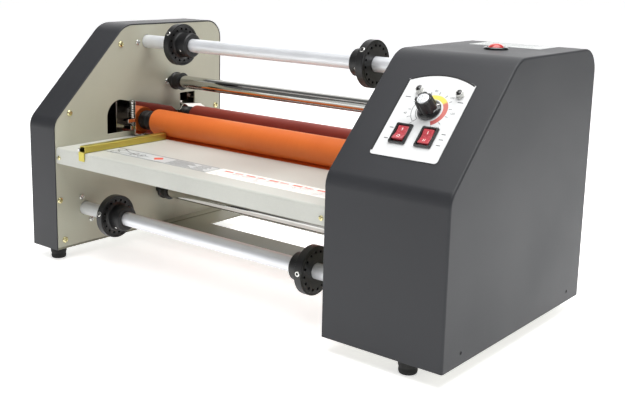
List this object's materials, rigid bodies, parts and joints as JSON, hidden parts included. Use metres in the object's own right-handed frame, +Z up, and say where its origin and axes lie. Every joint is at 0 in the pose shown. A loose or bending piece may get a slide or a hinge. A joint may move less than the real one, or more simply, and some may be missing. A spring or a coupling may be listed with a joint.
{
  "type": "hot roll laminator",
  "caption": "Desktop hot roll laminator: two housings joined by a feed table, film mandrels with chucks, idlers and geared silicone rollers.",
  "frame": {"origin": "centre of the footprint, on the surface that the feet stand on", "axes": "+X along the rollers towards the control housing, +Y from the feed side to the delivery side, +Z up"},
  "size_m": [0.574, 0.276, 0.2828],
  "materials": {
    "charcoal_paint": "fine-textured satin powder coat, dark charcoal",
    "grey_paint": "satin powder coat, warm light grey",
    "table_paint": "satin powder coat, pale grey-white",
    "yellow_paint": "gloss enamel, olive yellow",
    "black_rubber": "matt moulded rubber",
    "white_label": "satin printed polycarbonate, white",
    "black_plastic": "satin moulded plastic, black",
    "red_plastic": "gloss translucent plastic, red",
    "plain_steel": "turned or pressed steel, plain",
    "polished_steel": "polished or plated steel",
    "satin_aluminium": "satin anodised tube",
    "orange_silicone": "smooth satin silicone rubber, orange",
    "red_silicone": "smooth satin silicone rubber, dark red-brown",
    "gear_brass": "cut brass, lightly oiled",
    "circuit_board": "solder mask, green"
  },
  "bodies": {
    "frame": {"left_cover": "charcoal_paint", "right_cover": "charcoal_paint", "left_side_plate": "grey_paint", "right_side_plate": "grey_paint", "base_plate": "grey_paint", "feed_table": "table_paint", "front_left_foot": "black_rubber", "front_right_foot": "black_rubber", "back_left_foot": "black_rubber", "back_right_foot": "black_rubber", "control_plate": "white_label", "power_switch_bezel": "black_plastic", "direction_switch_bezel": "black_plastic", "top_switch_bezel": "black_plastic", "upper_left_bush": "black_plastic", "upper_right_bush": "black_plastic", "lower_left_bush": "black_plastic", "lower_right_bush": "black_plastic", "power_inlet": "black_plastic", "thermostat": "plain_steel", "left_pressure_spring": "plain_steel", "right_pressure_spring": "plain_steel", "motor_bracket": "plain_steel", "gear_motor": "plain_steel", "left_roller_frame": "polished_steel", "right_roller_frame": "polished_steel", "left_indicator": "polished_steel", "right_indicator": "polished_steel", "left_pressure_screw": "polished_steel", "right_pressure_screw": "polished_steel", "control_board": "circuit_board"},
    "guide": {"guide_bar": "yellow_paint"},
    "power_rocker": {"power_rocker": "red_plastic"},
    "direction_rocker": {"direction_rocker": "red_plastic"},
    "top_rocker": {"top_rocker": "red_plastic"},
    "temperature_knob": {"temperature_knob": "black_plastic"},
    "upper_mandrel": {"upper_mandrel": "satin_aluminium"},
    "upper_left_chuck": {"upper_left_chuck": "black_plastic"},
    "upper_right_chuck": {"upper_right_chuck": "black_plastic"},
    "lower_mandrel": {"lower_mandrel": "satin_aluminium"},
    "lower_left_chuck": {"lower_left_chuck": "black_plastic"},
    "lower_right_chuck": {"lower_right_chuck": "black_plastic"},
    "upper_idler": {"upper_idler": "polished_steel"},
    "lower_idler": {"lower_idler": "polished_steel"},
    "upper_carriage": {"left_carriage": "black_plastic", "right_carriage": "black_plastic"},
    "front_lower_roller": {"front_lower_sleeve": "orange_silicone", "front_lower_core": "plain_steel", "front_lower_gear": "gear_brass"},
    "front_upper_roller": {"front_upper_sleeve": "orange_silicone", "front_upper_core": "plain_steel", "front_upper_gear": "gear_brass"},
    "rear_lower_roller": {"rear_lower_sleeve": "red_silicone", "rear_lower_core": "plain_steel", "rear_lower_gear": "gear_brass"},
    "rear_upper_roller": {"rear_upper_sleeve": "red_silicone", "rear_upper_core": "plain_steel", "rear_upper_gear": "gear_brass"},
    "idle_gear": {"idle_gear": "gear_brass"},
    "motor_gear": {"motor_gear": "plain_steel"}
  },
  "joints": [
    {"name": "front_lower_spin", "type": "hinge", "parent": "frame", "child": "front_lower_roller", "pos_m": [-0.0415, 0.003, 0.1238], "axis": [1, 0, 0], "continuous": true},
    {"name": "pressure_lift", "type": "slide", "parent": "frame", "child": "upper_carriage", "axis": [0, 0, 1], "range_m": [0, 0.003], "stiffness_N_per_m": 4000, "springref_m": -0.006, "deforming": ["left_pressure_spring", "right_pressure_spring"]},
    {"name": "front_upper_spin", "type": "hinge", "parent": "upper_carriage", "child": "front_upper_roller", "pos_m": [-0.0415, 0.003, 0.1559], "axis": [1, 0, 0], "continuous": true},
    {"name": "rear_lower_spin", "type": "hinge", "parent": "frame", "child": "rear_lower_roller", "pos_m": [-0.0415, 0.0692, 0.1248], "axis": [1, 0, 0], "continuous": true},
    {"name": "rear_upper_spin", "type": "hinge", "parent": "upper_carriage", "child": "rear_upper_roller", "pos_m": [-0.0415, 0.0692, 0.1549], "axis": [1, 0, 0], "continuous": true},
    {"name": "idle_gear_spin", "type": "hinge", "parent": "frame", "child": "idle_gear", "pos_m": [-0.0415, 0.03662, 0.1243], "axis": [1, 0, 0], "continuous": true},
    {"name": "motor_gear_spin", "type": "hinge", "parent": "frame", "child": "motor_gear", "pos_m": [-0.0415, -0.01206, 0.10372], "axis": [1, 0, 0], "continuous": true},
    {"name": "upper_mandrel_spin", "type": "hinge", "parent": "frame", "child": "upper_mandrel", "pos_m": [-0.0415, 0.007, 0.25465], "axis": [1, 0, 0], "continuous": true},
    {"name": "upper_left_chuck_slide", "type": "slide", "parent": "upper_mandrel", "child": "upper_left_chuck", "axis": [1, 0, 0], "range_m": [-0.05, 0.1]},
    {"name": "upper_right_chuck_slide", "type": "slide", "parent": "upper_mandrel", "child": "upper_right_chuck", "axis": [1, 0, 0], "range_m": [-0.1, 0.045]},
    {"name": "lower_mandrel_spin", "type": "hinge", "parent": "frame", "child": "lower_mandrel", "pos_m": [-0.0415, -0.0948, 0.0593], "axis": [1, 0, 0], "continuous": true},
    {"name": "lower_left_chuck_slide", "type": "slide", "parent": "lower_mandrel", "child": "lower_left_chuck", "axis": [1, 0, 0], "range_m": [-0.044, 0.1]},
    {"name": "lower_right_chuck_slide", "type": "slide", "parent": "lower_mandrel", "child": "lower_right_chuck", "axis": [1, 0, 0], "range_m": [-0.1, 0.038]},
    {"name": "upper_idler_spin", "type": "hinge", "parent": "frame", "child": "upper_idler", "pos_m": [-0.0415, 0.0454, 0.203], "axis": [1, 0, 0], "continuous": true},
    {"name": "lower_idler_spin", "type": "hinge", "parent": "frame", "child": "lower_idler", "pos_m": [-0.0415, 0.0232, 0.0635], "axis": [1, 0, 0], "continuous": true},
    {"name": "guide_slide", "type": "slide", "parent": "frame", "child": "guide", "axis": [1, 0, 0], "range_m": [-0.033, 0.29]},
    {"name": "power_rock", "type": "hinge", "parent": "frame", "child": "power_rocker", "pos_m": [0.2105, -0.09826, 0.20774], "axis": [1, 0, 0], "range_deg": [0, 14]},
    {"name": "direction_rock", "type": "hinge", "parent": "frame", "child": "direction_rocker", "pos_m": [0.2372, -0.09826, 0.20774], "axis": [1, 0, 0], "range_deg": [-7, 7]},
    {"name": "top_rock", "type": "hinge", "parent": "frame", "child": "top_rocker", "pos_m": [0.227, 0.037, 0.274], "axis": [1, 0, 0], "range_deg": [-12, 0]},
    {"name": "temperature_turn", "type": "hinge", "parent": "frame", "child": "temperature_knob", "pos_m": [0.226, -0.07776, 0.22825], "axis": [0, -0.7071, 0.7071], "range_deg": [-140, 140]}
  ],
  "couplings": [
    {"joint": "front_upper_spin", "follows": "front_lower_spin", "ratio": -1},
    {"joint": "idle_gear_spin", "follows": "front_lower_spin", "ratio": -0.91429},
    {"joint": "rear_lower_spin", "follows": "front_lower_spin", "ratio": 1.0667},
    {"joint": "rear_upper_spin", "follows": "front_lower_spin", "ratio": -1.0667},
    {"joint": "motor_gear_spin", "follows": "front_lower_spin", "ratio": -1.7778}
  ]
}
